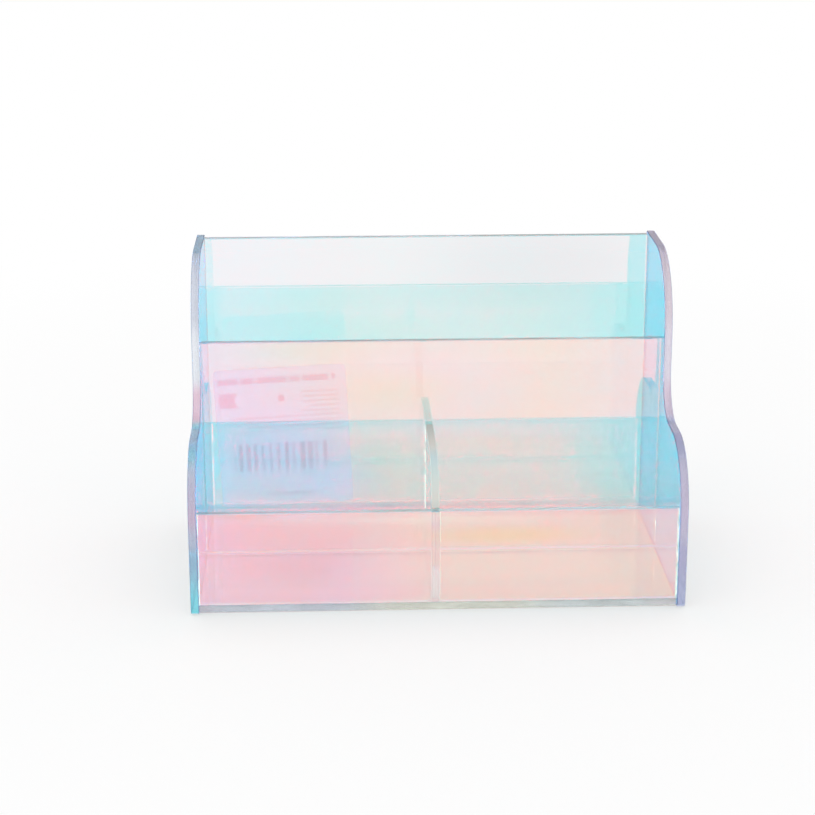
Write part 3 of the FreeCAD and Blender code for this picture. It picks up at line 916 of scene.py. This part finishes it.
# What is printed on it, from its middle: left, right, bottom and top, and how round the corners are.
PINK_BAR = -0.0250, 0.0235, 0.0227, 0.0252, 0.0003
PINK_BOX = -0.0248, 0.0022, 0.0130, 0.0192, 0.0012
PALE_OVAL = -0.0185, 0.0040, 0.0127, 0.0195, 0.0030
PINK_SPOT = -0.0012, 0.0014, 0.0148, 0.0176, 0.0010
SHORT_ROWS = 0.004, 0.0235, 0.010, 0.0202, 0.0001
LONG_ROWS = -0.021, 0.0235, 0.0022, 0.010, 0.0001
STRIPES = -0.0205, 0.0190, -0.0140, -0.0025, 0.0001
UNDER_RULE = -0.0060, 0.0100, -0.0250, -0.0238, 0.0001
BAR_STEP, BAR_UNBROKEN = 0.0013, 0.82
ROW_PITCH, ROW_INKED, ROW_RAGGED = 0.0020, 0.34, 0.0070
SHORT_ROWS_END, LONG_ROWS_END = 0.0045, -0.0200
STRIPE_PITCH, STRIPE_THINNEST, STRIPE_VARIES = 0.0031, 0.28, 0.45

label_low, label_high = (Vector(corner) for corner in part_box("blank_label"))


def label_place(made, links, place):
    """How far across and up the label a point lies, from the label's middle."""
    flat = made.new("ShaderNodeMapping")
    flat.vector_type = "TEXTURE"
    flat.inputs["Location"].default_value = (label_low + label_high) / 2
    flat.inputs["Rotation"].default_value = (0, -LABEL_TILT, 0)
    links.new(place, flat.inputs["Vector"])
    split = made.new("ShaderNodeSeparateXYZ")
    links.new(flat.outputs["Vector"], split.inputs[0])
    return split.outputs["X"], split.outputs["Z"]


def patch(made, links, across, up, left, right, bottom, top, corner):
    """A value of 1 inside an upright rectangle with round corners, and 0 outside."""
    square = None
    for value, low, high in ((across, left, right), (up, bottom, top)):
        from_middle = away_from(made, links, value, (low + high) / 2)
        over = maths(made, links, "SUBTRACT", from_middle, (high - low) / 2 - corner)
        over = maths(made, links, "MAXIMUM", over, 0.0)
        over = maths(made, links, "POWER", over, 2.0)
        square = over if square is None else maths(made, links, "ADD", square, over)
    reach = maths(made, links, "POWER", square, 0.5)
    return ramp(made, links, reach, corner + INK_SOFTNESS, corner - INK_SOFTNESS)


def stepped(made, links, value, pitch):
    """A value from 0 to 1 drawn afresh for each step along."""
    drawn = made.new("ShaderNodeTexWhiteNoise")
    drawn.noise_dimensions = "1D"
    links.new(maths(made, links, "FLOOR", maths(made, links, "DIVIDE", value, pitch), 0.0), drawn.inputs["W"])
    return drawn.outputs["Value"]


def repeated(made, links, value, pitch, share):
    """A value of 1 over a share of each step along, and 0 over the rest."""
    step = maths(made, links, "FRACT", maths(made, links, "DIVIDE", value, pitch), 0.0)
    return maths(made, links, "LESS_THAN", step, share)


material, made, links, output = new_material("printed_label_paper")
place, at = place_on_piece(made, links)
outside = maths(made, links, "GREATER_THAN", at["Y"], label_high.y - HAIR)
across, up = label_place(made, links, place)

# The pink print: a bar with gaps, and a box with a pale oval over it and a spot beside it.
pink_bar = patch(made, links, across, up, *PINK_BAR)
unbroken = maths(made, links, "LESS_THAN", stepped(made, links, across, BAR_STEP), BAR_UNBROKEN)
pink_bar = maths(made, links, "MULTIPLY", pink_bar, unbroken)
pink_box = patch(made, links, across, up, *PINK_BOX)
pale_oval = patch(made, links, across, up, *PALE_OVAL)
pink_spot = patch(made, links, across, up, *PINK_SPOT)
pink_box = maths(made, links, "MAXIMUM", maths(made, links, "SUBTRACT", pink_box, pale_oval), 0.0)
pink = maths(made, links, "MAXIMUM", maths(made, links, "MAXIMUM", pink_bar, pink_box), pink_spot)

# The grey print: two blocks of thin rules with ragged ends, and one short rule at the bottom.
ragged = maths(made, links, "MULTIPLY", stepped(made, links, up, ROW_PITCH), ROW_RAGGED)
blocks = []
for block, ends_at in ((SHORT_ROWS, SHORT_ROWS_END), (LONG_ROWS, LONG_ROWS_END)):
    inside_end = maths(made, links, "GREATER_THAN", across, maths(made, links, "ADD", ragged, ends_at))
    blocks.append(maths(made, links, "MULTIPLY", patch(made, links, across, up, *block), inside_end))
rules = maths(
    made, links, "MULTIPLY",
    maths(made, links, "MAXIMUM", *blocks), repeated(made, links, up, ROW_PITCH, ROW_INKED),
)
rules = maths(made, links, "MAXIMUM", rules, patch(made, links, across, up, *UNDER_RULE))

# The dark print: upright stripes, each of its own width.
width = maths(made, links, "MULTIPLY", stepped(made, links, across, STRIPE_PITCH), STRIPE_VARIES)
width = maths(made, links, "ADD", width, STRIPE_THINNEST)
stripes = maths(
    made, links, "MULTIPLY",
    patch(made, links, across, up, *STRIPES), repeated(made, links, across, STRIPE_PITCH, width),
)

# Paper that shows its print on the outside, and lets some of it through to the inside.
fibres = noise(made, links, place, PAPER_GRAIN, FIBRE_DETAIL)
paper_tone = blended(made, links, fibres, LABEL_FIBRES, LABEL_PAPER)
printed = blended(made, links, pink, paper_tone, INK_PINK)
printed = blended(made, links, rules, printed, INK_GREY)
printed = blended(made, links, stripes, printed, INK_DARK)
shown = maths(made, links, "MULTIPLY", outside, SHOW_THROUGH)
seen_through = blended(made, links, shown, paper_tone, printed)
cockle = made.new("ShaderNodeBump")
cockle.inputs["Strength"].default_value = COCKLE_STRENGTH
cockle.inputs["Distance"].default_value = COCKLE_HEIGHT
links.new(fibres, cockle.inputs["Height"])
paper_shader = made.new("ShaderNodeBsdfPrincipled")
paper_shader.inputs["Roughness"].default_value = 0.55
links.new(printed, paper_shader.inputs["Base Color"])
links.new(cockle.outputs["Normal"], paper_shader.inputs["Normal"])
glow = made.new("ShaderNodeBsdfTranslucent")
links.new(seen_through, glow.inputs["Color"])
from_inside = made.new("ShaderNodeNewGeometry").outputs["Backfacing"]
from_behind = maths(made, links, "MULTIPLY", outside, maths(made, links, "SUBTRACT", 1.0, from_inside))
body = maths(made, links, "MULTIPLY", from_behind, LABEL_BODY)
thin = made.new("ShaderNodeMixShader")
links.new(maths(made, links, "SUBTRACT", 1.0, body), thin.inputs["Fac"])
links.new(paper_shader.outputs[0], thin.inputs[1])
links.new(glow.outputs[0], thin.inputs[2])
links.new(thin.outputs[0], output.inputs["Surface"])
dress(nodes["blank_label"], material)

# The label's glue wets the film behind it, and the film looks bluer there.
made, links = back_sheet.node_tree.nodes, back_sheet.node_tree.links
across, up = label_place(made, links, made.new("ShaderNodeTexCoord").outputs["Object"])
half_wide, half_high = LABEL_WIDTH / 2, LABEL_HEIGHT / 2
wetted = patch(made, links, across, up, -half_wide, half_wide, -half_high, half_high, LABEL_CORNER)
recolour(back_sheet, wetted, WET_FILM)
